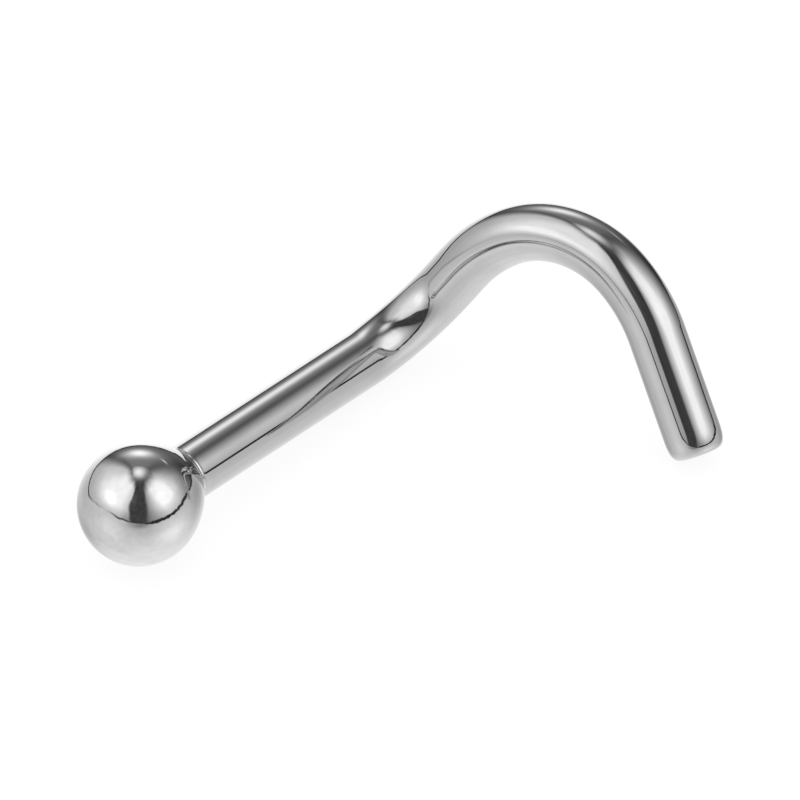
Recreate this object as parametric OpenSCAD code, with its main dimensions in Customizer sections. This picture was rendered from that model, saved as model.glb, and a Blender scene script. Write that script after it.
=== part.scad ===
// Nose screw: a round wire with a ball on one end, bent to a corner and then curled,
// lying as it rests by itself on a flat surface.

/* [Wire] */
// Thickness of the wire, 1.0 being 18 gauge
wire_d = 1.0; // [0.8:0.1:1.2]
// Radius that rounds the rim of the cut end
rim_round = 0.18; // [0.05:0.01:0.3]

/* [Ball] */
// Diameter of the ball
ball_d = 2.1; // [1.8:0.1:3]

/* [Post and corner] */
// Straight wire from the ball's centre to the corner
post_length = 5.83; // [5:0.01:7.5]
// Radius of the corner, to the middle of the wire
corner_r = 1.7; // [1:0.1:2]
// Angle that the corner turns through
corner_angle = 75; // [55:1:80]

/* [Curl] */
// Straight wire between the corner and the curl
neck_length = 0.41; // [0.2:0.01:1.6]
// Angle between the plane of the corner and the plane of the curl
curl_roll = 90; // [80:1:100]
// Radius of the curl's tight middle, to the middle of the wire
curl_r = 2; // [1.5:0.1:2.5]
// Angle of the curl's tight middle
curl_angle = 69.7; // [60:0.1:90]
// Radius of the curl's two wide ends, where it starts and where it opens towards the tail
wide_r = 2.8; // [2:0.1:4]
// Angle of the wide end at the corner
lead_angle = 22.5; // [10:0.1:30]
// Angle of the wide end at the tail
opening_angle = 24.3; // [15:0.1:40]

/* [Tail] */
// Straight wire after the curl, up to the cut end
tail_length = 2.14; // [1:0.01:3]

/* [Hidden] */
$fn = 96;
steel = "gainsboro";

wire_r = wire_d / 2;
ball_r = ball_d / 2;
// A bend draws the wire thinner by this much, and the straight wire reaches this far into it.
thinning = 0.0005;
reach = 0.02;

// Bends in their order from the ball. Each row holds the straight wire before the bend,
// the turn about the wire that aims the bend, and the bend's own radius and angle.
FEED = 0;
ROLL = 1;
RADIUS = 2;
ANGLE = 3;
BENDS = [
    [post_length, 0, corner_r, corner_angle],
    [neck_length, curl_roll, wide_r, lead_angle],
    [0, 0, curl_r, curl_angle],
    [0, 0, wide_r, opening_angle],
];
CORNER = 0;
LEAD = 1;
CURL = 2;
OPENING = 3;
TAIL = len(BENDS);

// Matrices that carry a frame along the wire. Its X axis points along the wire,
// and a bend turns it towards its Y axis.
function move(v) = [[1, 0, 0, v.x], [0, 1, 0, v.y], [0, 0, 1, v.z], [0, 0, 0, 1]];
function turn_x(a) = [[1, 0, 0, 0], [0, cos(a), -sin(a), 0], [0, sin(a), cos(a), 0], [0, 0, 0, 1]];
function turn_z(a) = [[cos(a), -sin(a), 0, 0], [sin(a), cos(a), 0, 0], [0, 0, 1, 0], [0, 0, 0, 1]];
function in_bend(bend, angle) =
    move([bend[FEED], 0, 0]) * turn_x(bend[ROLL])
    * move([0, bend[RADIUS], 0]) * turn_z(angle) * move([0, -bend[RADIUS], 0]);
function frame(i) = i == 0 ? move([0, 0, 0]) : frame(i - 1) * in_bend(BENDS[i - 1], BENDS[i - 1][ANGLE]);

function unit(v) = v / norm(v);
function across(v, direction) = v - (v * direction) * direction;
function point(matrix) = [for (axis = [0:2]) matrix[axis][3]];
function heading(matrix) = [for (axis = [0:2]) matrix[axis][0]];

// The wire lies on three feet: the ball, the underside of the corner and the rim of the cut end.
// Each foot is a ball of its own radius round one point. The surface touches all three, so the
// direction up follows from the points, and the points move a little as that direction changes.
corner_middle = point(move([post_length, corner_r, 0]));
rim_middle = point(frame(TAIL) * move([tail_length - rim_round, 0, 0]));
tail_heading = heading(frame(TAIL));
function corner_foot(up) = corner_middle + corner_r * unit([-up.x, -up.y, 0]);
function rim_foot(up) = rim_middle - (wire_r - rim_round) * unit(across(up, tail_heading));
function up_over(a, b) =
    let (
        rise = [wire_r - ball_r, rim_round - ball_r],
        aa = a * a,
        ab = a * b,
        bb = b * b,
        span = aa * bb - ab * ab,
        level = ((rise[0] * bb - rise[1] * ab) * a + (rise[1] * aa - rise[0] * ab) * b) / span
    )
    level - sqrt(1 - level * level) * unit(cross(a, b));
function settle(up, rounds) =
    rounds == 0 ? up : settle(up_over(corner_foot(up), rim_foot(up)), rounds - 1);
first_up = [0, -1, 0];
settling_rounds = 12;
up = settle(first_up, settling_rounds);

// At rest the post runs along X, as seen from above, and the origin is the middle of the footprint.
post_heading = unit(across([1, 0, 0], up));
side_heading = cross(up, post_heading);
wire_frames = concat(
    [for (i = [CORNER:OPENING], angle = [0:BENDS[i][ANGLE]]) frame(i) * in_bend(BENDS[i], angle)],
    [frame(TAIL) * move([tail_length, 0, 0])]
);
function wire_edge(matrix, side) = point(matrix) * side + wire_r * norm(across(side, heading(matrix)));
function extent(side) = max(ball_r, max([for (matrix = wire_frames) wire_edge(matrix, side)]));
function middle(side) = (extent(side) - extent(-side)) / 2;
REST = [
    [each post_heading, -middle(post_heading)],
    [each side_heading, -middle(side_heading)],
    [each up, ball_r],
    [0, 0, 0, 1]
];

module straight(from, to) {
    translate([from, 0, 0]) rotate([0, 90, 0]) cylinder(h = to - from, r = wire_r);
}

// A row of BENDS, with the straight wire before it
module stretch(row) {
    straight(-reach, row[FEED] + reach);
    translate([row[FEED], 0, 0]) rotate([row[ROLL], 0, 0]) translate([0, row[RADIUS], 0])
        rotate([0, 0, -90]) rotate_extrude(angle = row[ANGLE])
            translate([row[RADIUS], 0]) circle(wire_r - thinning);
}

module ball() {
    color(steel) sphere(ball_r);
}

module post() {
    color(steel) stretch(BENDS[CORNER]);
}

module curl() {
    color(steel) for (i = [LEAD, CURL, OPENING]) multmatrix(frame(i)) stretch(BENDS[i]);
}

module cut_end() {
    rotate([0, 90, 0]) rotate_extrude() {
        square([wire_r - rim_round, rim_round]);
        intersection() {
            translate([wire_r - rim_round, 0]) circle(rim_round);
            square([wire_r, rim_round]);
        }
    }
}

module tail() {
    color(steel) multmatrix(frame(TAIL)) {
        straight(-reach, tail_length - rim_round);
        translate([tail_length - rim_round, 0, 0]) cut_end();
    }
}

module nose_screw() {
    multmatrix(REST) {
        ball();
        post();
        curl();
        tail();
    }
}

nose_screw();
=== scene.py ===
import math

import bmesh
import bpy
from mathutils import Matrix, Vector


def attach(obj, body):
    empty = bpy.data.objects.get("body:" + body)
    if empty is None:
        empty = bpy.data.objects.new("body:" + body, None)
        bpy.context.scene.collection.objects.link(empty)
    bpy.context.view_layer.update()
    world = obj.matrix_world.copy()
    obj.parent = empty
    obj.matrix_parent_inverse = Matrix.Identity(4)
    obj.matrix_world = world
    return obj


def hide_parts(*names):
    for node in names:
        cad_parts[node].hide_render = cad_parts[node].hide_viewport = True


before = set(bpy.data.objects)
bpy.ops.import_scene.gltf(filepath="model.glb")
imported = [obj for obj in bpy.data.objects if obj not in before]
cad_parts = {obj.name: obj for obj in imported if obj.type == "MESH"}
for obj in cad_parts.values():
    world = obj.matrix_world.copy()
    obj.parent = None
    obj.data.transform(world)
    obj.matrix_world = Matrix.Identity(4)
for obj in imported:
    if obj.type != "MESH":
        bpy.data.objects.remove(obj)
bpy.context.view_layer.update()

# The nose screw: one length of 1 mm steel wire with a 2.1 mm ball welded on one end and the
# rim rounded on the other. It is drawn straight, as the cut wire is, then bent round four
# pegs, the last bend first, and laid down on its ball, its corner and its cut end.

MM = 0.001


class Amount:
    """What a node gives, mostly a number. Arithmetic on it adds Math nodes."""

    def __init__(self, bench, socket):
        self.bench, self.socket = bench, socket

    def math(self, operation, *values):
        return self.bench.node("ShaderNodeMath", {"operation": operation}, dict(enumerate(values))).out(0)

    def __add__(self, other):
        return self.math("ADD", self, other)

    def __radd__(self, other):
        return self.math("ADD", other, self)

    def __sub__(self, other):
        return self.math("SUBTRACT", self, other)

    def __rsub__(self, other):
        return self.math("SUBTRACT", other, self)

    def __mul__(self, other):
        return self.math("MULTIPLY", self, other)

    def __rmul__(self, other):
        return self.math("MULTIPLY", other, self)

    def __truediv__(self, other):
        return self.math("DIVIDE", self, other)

    def __rtruediv__(self, other):
        return self.math("DIVIDE", other, self)

    def __neg__(self):
        return self.math("MULTIPLY", self, -1)

    def __pow__(self, other):
        return self.math("POWER", self, other)

    def at_least(self, other):
        return self.math("MAXIMUM", self, other)

    def at_most(self, other):
        return self.math("MINIMUM", self, other)

    def sin(self):
        return self.math("SINE", self)

    def cos(self):
        return self.math("COSINE", self)

    def root(self):
        return self.math("SQRT", self)

    def angle_from(self, other):
        """The angle whose opposite side is this and whose adjacent side is the other."""
        return self.math("ARCTAN2", self, other)

    def arcsine(self):
        return self.math("ARCSINE", self)

    def exponential(self):
        return self.math("EXPONENT", self)

    def unsigned(self):
        return self.math("ABSOLUTE", self)

    def eased(self, start, end):
        """0 before start, 1 after end, and smooth between them."""
        return self.bench.node(
            "ShaderNodeMapRange",
            {"interpolation_type": "SMOOTHSTEP"},
            {"Value": self, "From Min": start, "From Max": end},
        ).out("Result")


class Made:
    """A node, and what comes out of it."""

    def __init__(self, bench, node):
        self.bench, self.made = bench, node

    def out(self, name):
        return Amount(self.bench, self.made.outputs[name])


class Bench:
    """A node tree, and the one way in which its nodes are made."""

    def __init__(self, tree):
        self.tree = tree

    def node(self, kind, settings, values):
        made = self.tree.nodes.new(kind)
        for name, value in settings.items():
            setattr(made, name, value)
        for name, value in values.items():
            if isinstance(value, Amount):
                self.tree.links.new(value.socket, made.inputs[name])
            else:
                made.inputs[name].default_value = value
        return Made(self, made)


SCREW_SIZES = {
    "Ball radius": 1.05 * MM,
    "Ball drawn out": 0.26 * MM,
    "Weld radius": 0.06 * MM,
    "Bead width": 0.05 * MM,
    "Bead height": 0.008 * MM,
    "Wire radius": 0.5 * MM,
    "Rim radius": 0.22 * MM,
    "Rim length": 0.46 * MM,
    "Rim fullness": 3,
    "Post length": 5.83 * MM,
    "Corner radius": 1.7 * MM,
    "Corner angle": math.radians(75),
    "Neck length": 0.41 * MM,
    "Curl roll": math.radians(90),
    "Lead radius": 2.8 * MM,
    "Lead angle": math.radians(22.5),
    "Curl radius": 2 * MM,
    "Curl angle": math.radians(69.7),
    "Opening radius": 2.8 * MM,
    "Opening angle": math.radians(24.3),
    "Tail length": 2.14 * MM,
    "Rest roll": math.radians(118.107),
    "Rest slope": math.radians(5.3311),
}
BALL_PLACE = Vector((-3.91172, 2.59931, 1.05)) * MM

# Rings of points in each stretch of the wire, points in a ring, and how near two points are joined
RINGS = {"ball": 64, "weld": 8, "bead": 10, "wire": 360, "rim": 24, "face": 5}
SIDES = 128
SEAM_GAP = 0.0001 * MM


def shares(ring):
    """How much of each stretch of the wire lies before a ring, from 0 to 1."""
    first = 0
    over = {}
    for stretch, count in RINGS.items():
        over[stretch] = ((ring - first) / count).at_least(0).at_most(1)
        first += count
    return over


def wire_profile(size, over, wire_end):
    """How far a ring of the straight wire lies from the ball's middle, and the ring's radius."""
    ball, weld, wire, rim = (size(part + " radius") for part in ("Ball", "Weld", "Wire", "Rim"))

    # The weld is a tiny hollow that touches both the ball and the wire, with a low bead after it
    weld_height = wire + weld
    reach = ball + weld
    weld_place = (reach * reach - weld_height * weld_height).root()
    lean = weld_height.angle_from(weld_place)
    weld_angle = lean + math.pi + (math.pi / 2 - lean) * over["weld"]
    bead = size("Bead height") * (0.5 - (over["bead"] * math.tau).cos() * 0.5)

    # The ball is drawn out a little on the wire's side
    ball_angle = (math.pi - lean) * over["ball"]
    towards_wire = (-ball_angle.cos()).at_least(0)
    drawn_out = size("Ball drawn out") * towards_wire * towards_wire * towards_wire

    # The rim bends in gently, as a buffed edge does, and its curve is fuller than an ellipse
    rim_angle = over["rim"] * (math.pi / 2)
    rim_curve = 2 / size("Rim fullness")
    plain_length = wire_end - size("Rim length") - weld_place - drawn_out - size("Bead width")
    along = (
        weld * (weld_angle.cos() + lean.cos())
        - ball * ball_angle.cos()
        + drawn_out
        + size("Bead width") * over["bead"]
        + plain_length * over["wire"]
        + size("Rim length") * rim_angle.sin() ** rim_curve
    )
    radius = (
        ball * ball_angle.sin()
        + weld * (weld_angle.sin() + lean.sin())
        + bead
        - rim * (1 - rim_angle.cos().at_least(0) ** rim_curve)
        - (wire - rim) * over["face"]
    )
    return along, radius


def bent(x, y, z, start, radius, angle):
    """The wire after a peg of that radius turns all of it past start through that angle."""
    along = x - start
    turned = (along / radius).at_least(0).at_most(angle)
    past = along - radius * turned
    from_peg = radius - y
    return (
        start + from_peg * turned.sin() + past * turned.cos(),
        radius - from_peg * turned.cos() + past * turned.sin(),
        z,
    )


def rolled(x, y, z, angle):
    """The wire turned about its own first stretch."""
    return x, y * angle.cos() - z * angle.sin(), y * angle.sin() + z * angle.cos()


def bending_tree():
    """The tree that makes a nose screw from the sizes, the ball's place and the steel."""
    tree = bpy.data.node_groups.new("nose_screw_bending", "GeometryNodeTree")
    for name in SCREW_SIZES:
        tree.interface.new_socket(name, in_out="INPUT", socket_type="NodeSocketFloat")
    tree.interface.new_socket("Ball place", in_out="INPUT", socket_type="NodeSocketVector")
    tree.interface.new_socket("Steel", in_out="INPUT", socket_type="NodeSocketMaterial")
    tree.interface.new_socket("Nose screw", in_out="OUTPUT", socket_type="NodeSocketGeometry")
    bench = Bench(tree)
    size = bench.node("NodeGroupInput", {}, {}).out

    # A flat sheet of rings by sides is rolled up into the straight wire
    rings = sum(RINGS.values())
    sheet = bench.node(
        "GeometryNodeMeshGrid",
        {},
        {"Size X": rings, "Size Y": math.tau, "Vertices X": rings + 1, "Vertices Y": SIDES + 1},
    )
    flat = bench.node("GeometryNodeInputPosition", {}, {}).out(0)
    on_sheet = bench.node("ShaderNodeSeparateXYZ", {}, {0: flat})
    side = on_sheet.out("Y")
    lead_start = size("Post length") + size("Corner radius") * size("Corner angle") + size("Neck length")
    curl_start = lead_start + size("Lead radius") * size("Lead angle")
    opening_start = curl_start + size("Curl radius") * size("Curl angle")
    tail_start = opening_start + size("Opening radius") * size("Opening angle")
    over = shares(on_sheet.out("X") + rings / 2)
    x, radius = wire_profile(size, over, tail_start + size("Tail length"))
    y = radius * side.cos()
    z = -(radius * side.sin())
    straight = bench.node("ShaderNodeCombineXYZ", {}, {"X": x, "Y": y, "Z": z}).out(0)

    # The bends, from the cut end back to the ball
    x, y, z = bent(x, y, z, opening_start, size("Opening radius"), size("Opening angle"))
    x, y, z = bent(x, y, z, curl_start, size("Curl radius"), size("Curl angle"))
    x, y, z = bent(x, y, z, lead_start, size("Lead radius"), size("Lead angle"))
    x, y, z = rolled(x, y, z, size("Curl roll"))
    x, y, z = bent(x, y, z, size("Post length"), size("Corner radius"), size("Corner angle"))

    # Laid down, so that the post slopes from the ball's middle down to the corner
    x, y, z = rolled(x, y, z, size("Rest roll"))
    slope = size("Rest slope")
    lying = bench.node(
        "ShaderNodeCombineXYZ",
        {},
        {"X": x * slope.cos() + z * slope.sin(), "Y": y, "Z": z * slope.cos() - x * slope.sin()},
    ).out(0)
    at_rest = bench.node(
        "ShaderNodeVectorMath", {"operation": "ADD"}, {0: lying, 1: size("Ball place")}
    ).out(0)

    screw = sheet.out("Mesh")
    for kind, settings, values in (
        (
            "GeometryNodeStoreNamedAttribute",
            {"data_type": "FLOAT2", "domain": "CORNER"},
            {"Name": "UVMap", "Value": sheet.out("UV Map")},
        ),
        (
            "GeometryNodeStoreNamedAttribute",
            {"data_type": "FLOAT_VECTOR", "domain": "POINT"},
            {"Name": "straight_wire", "Value": straight},
        ),
        ("GeometryNodeSetPosition", {}, {"Position": at_rest}),
        ("GeometryNodeMergeByDistance", {}, {"Distance": SEAM_GAP}),
        ("GeometryNodeSetShadeSmooth", {}, {"Shade Smooth": True}),
        ("GeometryNodeRealizeInstances", {}, {}),
        ("GeometryNodeSetMaterial", {}, {"Material": size("Steel")}),
    ):
        screw = bench.node(kind, settings, {"Geometry": screw, **values}).out(0)
    bench.node("NodeGroupOutput", {}, {"Nose screw": screw})
    return tree


# Its finish: drawn through a die, which leaves faint lines along the wire, then tumbled and
# buffed to a mirror. What is left is a soft waviness, hairlines along and round the wire,
# shallow pits on the ball's side of the weld, a haze, and a thin film where fingers held it.
BALL_STEEL = (0.65, 0.65, 0.655, 1)
# The wire's steel is darker than the ball's: painted shade, standing in for the darker reflections along the
# wire
WIRE_STEEL_PAINTED_SHADE = (0.545, 0.545, 0.55, 1)
FILMED_STEEL = (0.46, 0.46, 0.465, 1)
HAZE_SHOWS = 0.16
FILM_SHOWS = 0.4
PITS_FAR_FROM_WELD = 0.4
WAVE_DEPTH = 0.0012 * MM
PIT_DEPTH = 0.0007 * MM
HAIRLINE_DEPTH = 0.00007 * MM
MIRROR_ROUGHNESS = 0.05
HAIRLINE_ROUGHNESS = 0.04
FILM_ROUGHNESS = 0.03

steel = bpy.data.materials.new("polished_steel")
steel.use_nodes = True
steel.node_tree.nodes.clear()
bench = Bench(steel.node_tree)
wire_place = bench.node("ShaderNodeAttribute", {"attribute_name": "straight_wire"}, {}).out("Vector")


def grain(along, around, detail, roughness):
    """Uneven marks, given how many of them go into a millimetre along the wire and round it."""
    stretched = bench.node(
        "ShaderNodeMapping",
        {},
        {"Vector": wire_place, "Scale": (along / MM, around / MM, around / MM)},
    ).out(0)
    return bench.node(
        "ShaderNodeTexNoise", {}, {"Vector": stretched, "Scale": 1, "Detail": detail, "Roughness": roughness}
    ).out(0)


def blended(share, first, second):
    """The first colour, with that share of the second. 6, 7 and 2 are the Mix node's colour sockets."""
    return bench.node("ShaderNodeMix", {"data_type": "RGBA"}, {0: share, 6: first, 7: second}).out(2)


def bump(height, depth, under):
    """Marks of that depth, on top of the ones under them."""
    values = {"Strength": 1, "Distance": depth, "Height": height}
    if under:
        values["Normal"] = under
    return bench.node("ShaderNodeBump", {}, values).out(0)


drawn = grain(along=0.7, around=22, detail=2, roughness=0.6)
buffed = grain(along=26, around=1.5, detail=2, roughness=0.6)
film = grain(along=0.9, around=1.3, detail=3, roughness=0.55).eased(0.45, 0.75)
haze = grain(along=9, around=11, detail=4, roughness=0.65).eased(0.35, 0.75)
waves = grain(along=1.6, around=1.6, detail=1, roughness=0.4)
pits = grain(along=8, around=8, detail=3, roughness=0.6)
hairlines = drawn.eased(0.6, 0.72) + buffed.eased(0.62, 0.74)

# Round the weld the ball's steel gives way to the wire's, which is painted darker than the ball's as shade
# for the darker reflections along the wire, and the pits deepen towards it
from_ball = bench.node("ShaderNodeSeparateXYZ", {}, {0: wire_place}).out("X")
on_wire = from_ball.eased(0.9 * MM, 1.4 * MM)
on_ball = 1 - on_wire
near_weld = from_ball.eased(-0.6 * MM, 0.6 * MM) * on_ball

# Painted shade: the wire's share of the steel colour is darker than the ball's
steel_colour_with_painted_shade = blended(on_wire, BALL_STEEL, WIRE_STEEL_PAINTED_SHADE)
waved = bump(waves, WAVE_DEPTH, None)
pitted = bump(pits * (near_weld + PITS_FAR_FROM_WELD * on_ball), PIT_DEPTH, waved)
polish = bench.node(
    "ShaderNodeBsdfPrincipled",
    {},
    {
        "Base Color": blended(haze * HAZE_SHOWS + film * FILM_SHOWS, steel_colour_with_painted_shade, FILMED_STEEL),
        "Metallic": 1,
        "Roughness": MIRROR_ROUGHNESS + hairlines * HAIRLINE_ROUGHNESS + film * FILM_ROUGHNESS,
        "Normal": bump(drawn + buffed, HAIRLINE_DEPTH, pitted),
    },
).out(0)
bench.node("ShaderNodeOutputMaterial", {}, {"Surface": polish})

screw = bpy.data.objects.new("nose_screw_polished", bpy.data.meshes.new("nose_screw_polished"))
bpy.context.scene.collection.objects.link(screw)
bending = screw.modifiers.new("bending", "NODES")
bending.node_group = bending_tree()
given = {**SCREW_SIZES, "Ball place": BALL_PLACE, "Steel": steel}
for item in bending.node_group.interface.items_tree:
    if item.in_out == "INPUT":
        bending[item.identifier] = given[item.name]
depsgraph = bpy.context.evaluated_depsgraph_get()
screw_mesh = bpy.data.meshes.new_from_object(
    screw.evaluated_get(depsgraph), preserve_all_data_layers=True, depsgraph=depsgraph
)
screw.modifiers.remove(bending)
screw.data = screw_mesh
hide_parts("nose_screw")
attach(screw, "root")

# The table: a sheet of acrylic, lit from below, so that hardly any shadow is left on it.
# The steel doesn't mirror the sheet itself, but the tent's lower half, which stands for it.
TABLE_HALF = 400 * MM
ACRYLIC_COLOUR = (0.18, 0.18, 0.18, 1)
ACRYLIC_ROUGHNESS = 0.9
TABLE_GLOW = 0.86

table = bpy.data.objects.new("white_table", bpy.data.meshes.new("white_table"))
bpy.context.scene.collection.objects.link(table)
corners = [(-1, -1), (1, -1), (1, 1), (-1, 1)]
table.data.from_pydata([(x * TABLE_HALF, y * TABLE_HALF, 0) for x, y in corners], [], [(0, 1, 2, 3)])
table.visible_glossy = False
acrylic = bpy.data.materials.new("white_acrylic")
acrylic.use_nodes = True
acrylic.node_tree.nodes.clear()
bench = Bench(acrylic.node_tree)
sheen = bench.node(
    "ShaderNodeBsdfPrincipled",
    {},
    {
        "Base Color": ACRYLIC_COLOUR,
        "Roughness": ACRYLIC_ROUGHNESS,
        "Specular IOR Level": 0,
        "Emission Color": (1, 1, 1, 1),
        "Emission Strength": TABLE_GLOW,
    },
).out(0)
bench.node("ShaderNodeOutputMaterial", {}, {"Surface": sheen})
table.data.materials.append(acrylic)

# The light tent: a globe of white cloth round the screw, with two soft boxes left and right of
# the camera, a dark gap between them, and the table's edge as a thin dark line. Only the
# polished steel mirrors it. Its light is placed in degrees, rightwards and up from the camera.
CAMERA_AZIMUTH = math.radians(-50.652)
CAMERA_ELEVATION = math.radians(39.092)
TENT_RADIUS = 130 * MM
TENT_PANELS = 96
TENT_HOOPS = 48
BRIGHTEST_BOX = 1.65

to_right = Vector((math.cos(CAMERA_AZIMUTH), math.sin(CAMERA_AZIMUTH), 0))
towards = Vector((math.sin(CAMERA_AZIMUTH), -math.cos(CAMERA_AZIMUTH), 0))
back_to_camera = towards * math.cos(CAMERA_ELEVATION) + Vector((0, 0, math.sin(CAMERA_ELEVATION)))
upward = back_to_camera.cross(to_right)

globe = bmesh.new()
bmesh.ops.create_uvsphere(globe, u_segments=TENT_PANELS, v_segments=TENT_HOOPS, radius=TENT_RADIUS)
tent = bpy.data.objects.new("light_tent", bpy.data.meshes.new("light_tent"))
globe.to_mesh(tent.data)
globe.free()
tent.location = BALL_PLACE
bpy.context.scene.collection.objects.link(tent)
tent.visible_camera = False
tent.visible_diffuse = False
tent.visible_transmission = False
tent.visible_volume_scatter = False
tent.visible_shadow = False
cloth = bpy.data.materials.new("tent_cloth")
cloth.use_nodes = True
cloth.cycles.emission_sampling = "NONE"
cloth.node_tree.nodes.clear()
bench = Bench(cloth.node_tree)
spot = bench.node("ShaderNodeTexCoord", {}, {}).out("Object")
ray = bench.node("ShaderNodeVectorMath", {"operation": "NORMALIZE"}, {0: spot}).out(0)


def part_of_ray(direction):
    """How far the ray to a spot on the tent goes in that direction, from -1 to 1."""
    return bench.node(
        "ShaderNodeVectorMath", {"operation": "DOT_PRODUCT"}, {0: ray, 1: direction}
    ).out("Value")


def unevenness(folds, detail):
    """Soft noise between 0 and 1 over the tent."""
    return bench.node("ShaderNodeTexNoise", {}, {"Vector": ray, "Scale": folds, "Detail": detail}).out(0)


def glow(value, middle, reach):
    """1 in the middle, fading away on both sides."""
    off = (value - middle) / reach
    return (-(off * off)).exponential()


def patch(sideways_angle, middle, reach):
    """1 in the middle of a patch of the tent, given as an angle sideways and one up."""
    return glow(sideways_angle, middle[0], reach[0]) * glow(elevation, middle[1], reach[1])


def laid_over(lower, upper, mask):
    """The upper light laid over the lower one where the mask is 1."""
    return lower + (upper - lower) * mask


sideways, forwards, height = part_of_ray(to_right), part_of_ray(towards), part_of_ray((0, 0, 1))
azimuth = sideways.angle_from(forwards) * (180 / math.pi)
elevation = height.arcsine() * (180 / math.pi)
round_tent = azimuth.unsigned()
from_back = 180 - round_tent
near_table = 1 - elevation.eased(8, 30)

# The cloth at the back, the dark gap at the camera, and the ceiling with one lit panel
back_cloth = (
    0.17
    + 0.1 * elevation.eased(0, 30)
    + 1.25 * patch(from_back, middle=(0, 30.5), reach=(15, 11))
    + 0.7 * patch(azimuth, middle=(147, 28), reach=(5, 1.8))
    - 0.12 * glow(azimuth, 141, 12)
    - 0.1 * glow(azimuth, -153, 6)
)
gap = 0.03 + 0.09 * unevenness(9, 3) + 0.05 * patch(azimuth, middle=(-12, 45), reach=(7, 12))
light = laid_over(gap, back_cloth, round_tent.eased(40, 115))
panel = 1.2 * glow(sideways, 0, 0.17) * glow(forwards, -0.19, 0.19) * sideways.eased(-0.2, -0.12)
ceiling = 0.14 * unevenness(9, 3) + 0.1 * (1 - forwards.eased(-0.1, 0.1)) + panel
light = laid_over(light, ceiling, elevation.eased(64.5, 66.5))

# The left soft box, brightest in its middle and darker beside the gap
left_end = -17.5 - 4.5 * glow(elevation, 36, 12) + 4 * (1 - elevation.eased(2, 14))
left_top = 78 - 8 * azimuth.eased(-42, -14) - 6 * (1 - azimuth.eased(-138, -105))
left_box = (
    (azimuth + 6 * near_table).eased(-150, -131)
    * (1 - (azimuth - left_end).eased(-3, 3))
    * (1 - (elevation - left_top).eased(-10, 7))
)
left_light = (
    0.62
    + 0.25 * elevation.eased(0, 50)
    + 0.5 * azimuth.eased(-140, -80) * elevation.eased(-5, 35)
    - 0.35 * azimuth.eased(-42, -20)
    + 0.6 * patch(azimuth, middle=(-66, 29), reach=(20, 10))
)
light = laid_over(light, left_light.at_most(BRIGHTEST_BOX), left_box)

# The right soft box, which gets brighter from the gap on
right_start = 14
right_bright = 60 - 16 * elevation.eased(8, 45)
rising = ((azimuth - right_start) / (right_bright - right_start)).at_least(0).at_most(1)
right_top = 70 - 6 * (1 - azimuth.eased(24, 55)) - 3 * azimuth.eased(75, 105)
right_box = (
    (azimuth + 4 * near_table - 4 * elevation.eased(45, 60)).eased(15, 22)
    * (1 - azimuth.eased(77, 136))
    * (1 - (elevation - right_top).eased(-11, 11))
)
right_light = (
    0.16
    + rising * (0.68 + 0.55 * elevation.eased(2, 32))
    + 0.7 * patch(azimuth, middle=(68, 38), reach=(18, 15))
)
light = laid_over(light, right_light.at_most(BRIGHTEST_BOX), right_box)

# The table below, lit by both boxes and at the back, and shaded between and behind the boxes
table_light = (
    0.82
    + 0.31 * (1 - elevation.eased(-80, -12))
    + 0.26 * patch(azimuth, middle=(-48, -18), reach=(26, 20))
    + 0.4 * patch(azimuth, middle=(62, -28), reach=(27, 17))
    - 0.5 * patch(azimuth, middle=(2, 0), reach=(22, 7))
    - 0.1 * patch(azimuth, middle=(10, -14), reach=(30, 8))
    - 0.36 * patch(azimuth, middle=(-130, -46), reach=(40, 16))
    - 0.12 * patch(azimuth, middle=(-115, -14), reach=(30, 14))
    - 0.38 * patch(azimuth, middle=(135, -19), reach=(30, 18))
    + 0.6 * patch(from_back, middle=(0, -14), reach=(30, 16))
)
edge_height = (
    2.5
    + 8 * glow(azimuth, -48, 34)
    - 6.5 * glow(azimuth, -112, 18)
    - 3 * glow(azimuth, -140, 14)
    - 9 * glow(azimuth, 134, 22)
    - 7.5 * glow(azimuth, 154, 13)
    - 1.5 * glow(from_back, 0, 20)
    - 2 * glow(azimuth, -38, 8)
    + (unevenness(9, 1) - 0.5) * (1.5 + 4 * azimuth.eased(8, 24))
)
above_edge = elevation - edge_height
light = laid_over(table_light, light, above_edge.eased(-0.4, 0.4))

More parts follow.
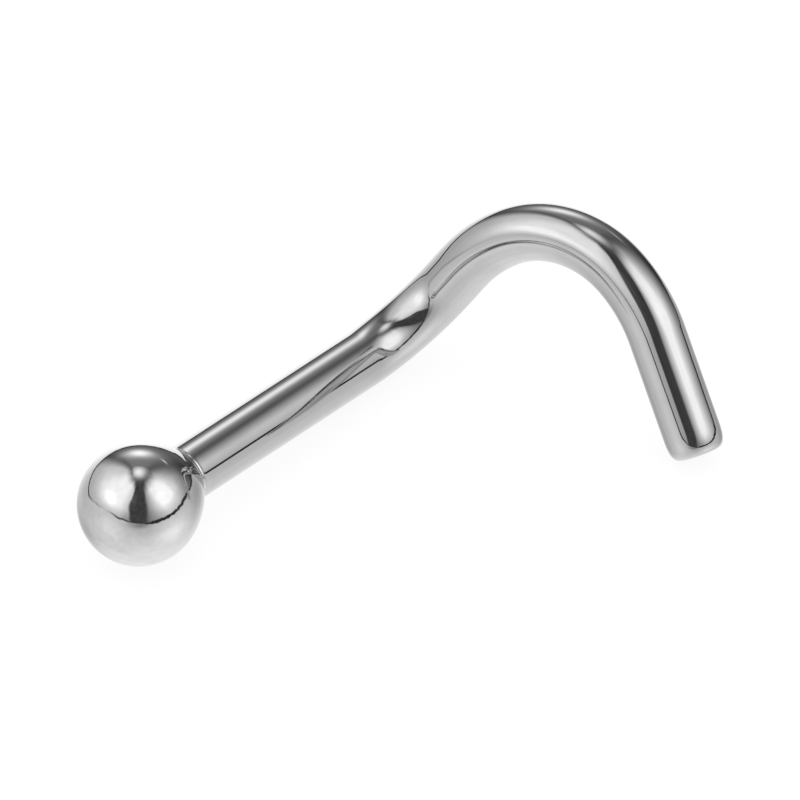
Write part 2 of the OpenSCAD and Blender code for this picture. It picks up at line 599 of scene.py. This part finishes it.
# The table's edge, a dark line that fades in front of the camera and to the left of it
line_reach = (
    1.5
    + 1.4 * azimuth.eased(10, 30) * (1 - azimuth.eased(95, 118))
    + 0.8 * glow(from_back, 0, 30)
)
edge_line = (
    (1 - above_edge.unsigned().eased(line_reach - 0.5, line_reach + 0.5))
    * (1 - glow(azimuth, -2, 12))
    * (1 - glow(azimuth, -69, 16))
    * (1 - 0.7 * glow(azimuth, -94, 14))
)
line_light = 0.03 + 0.4 * glow(azimuth, -61, 14)
light = laid_over(light, line_light, edge_line) * (0.9 + 0.2 * unevenness(5, 3))
shine = bench.node("ShaderNodeEmission", {}, {"Color": light, "Strength": 1}).out(0)
bench.node("ShaderNodeOutputMaterial", {}, {"Surface": shine})
tent.data.materials.append(cloth)

# The room: plain white walls all round, which light the table evenly from above and are all
# that shows beyond it.
room = bpy.data.worlds.new("white_room")
room.use_nodes = True
room.node_tree.nodes.clear()
bpy.context.scene.world = room
bench = Bench(room.node_tree)
walls = bench.node("ShaderNodeBackground", {}, {"Color": (1, 1, 1, 1), "Strength": 1}).out(0)
bench.node("ShaderNodeOutputWorld", {}, {"Surface": walls})

# The camera: a very long lens a long way off, looking down on the screw from the ball's end.
# The ball's middle lands on BALL_PIXEL, counted from the upper left corner of the frame.
PIXELS_PER_MM = 59.42
FRAME_PIXELS = 800
BALL_PIXEL = (138.96, 504.36)
SENSOR_MM = 36
CAMERA_DISTANCE = 300 * MM
NEAREST_SEEN = 10 * MM
FARTHEST_SEEN = 1000 * MM

eye = bpy.data.cameras.new("camera")
eye.sensor_width = SENSOR_MM
eye.lens = PIXELS_PER_MM * (CAMERA_DISTANCE / MM) * SENSOR_MM / FRAME_PIXELS
eye.clip_start = NEAREST_SEEN
eye.clip_end = FARTHEST_SEEN
camera = bpy.data.objects.new("camera", eye)
bpy.context.scene.collection.objects.link(camera)
right_of_ball = (FRAME_PIXELS / 2 - BALL_PIXEL[0]) / PIXELS_PER_MM * MM
above_ball = (BALL_PIXEL[1] - FRAME_PIXELS / 2) / PIXELS_PER_MM * MM
aim = BALL_PLACE + to_right * right_of_ball + upward * above_ball
camera.matrix_world = Matrix((to_right, upward, back_to_camera)).transposed().to_4x4()
camera.matrix_world.translation = aim + back_to_camera * CAMERA_DISTANCE
bpy.context.scene.camera = camera
bpy.context.scene.view_settings.view_transform = "Standard"
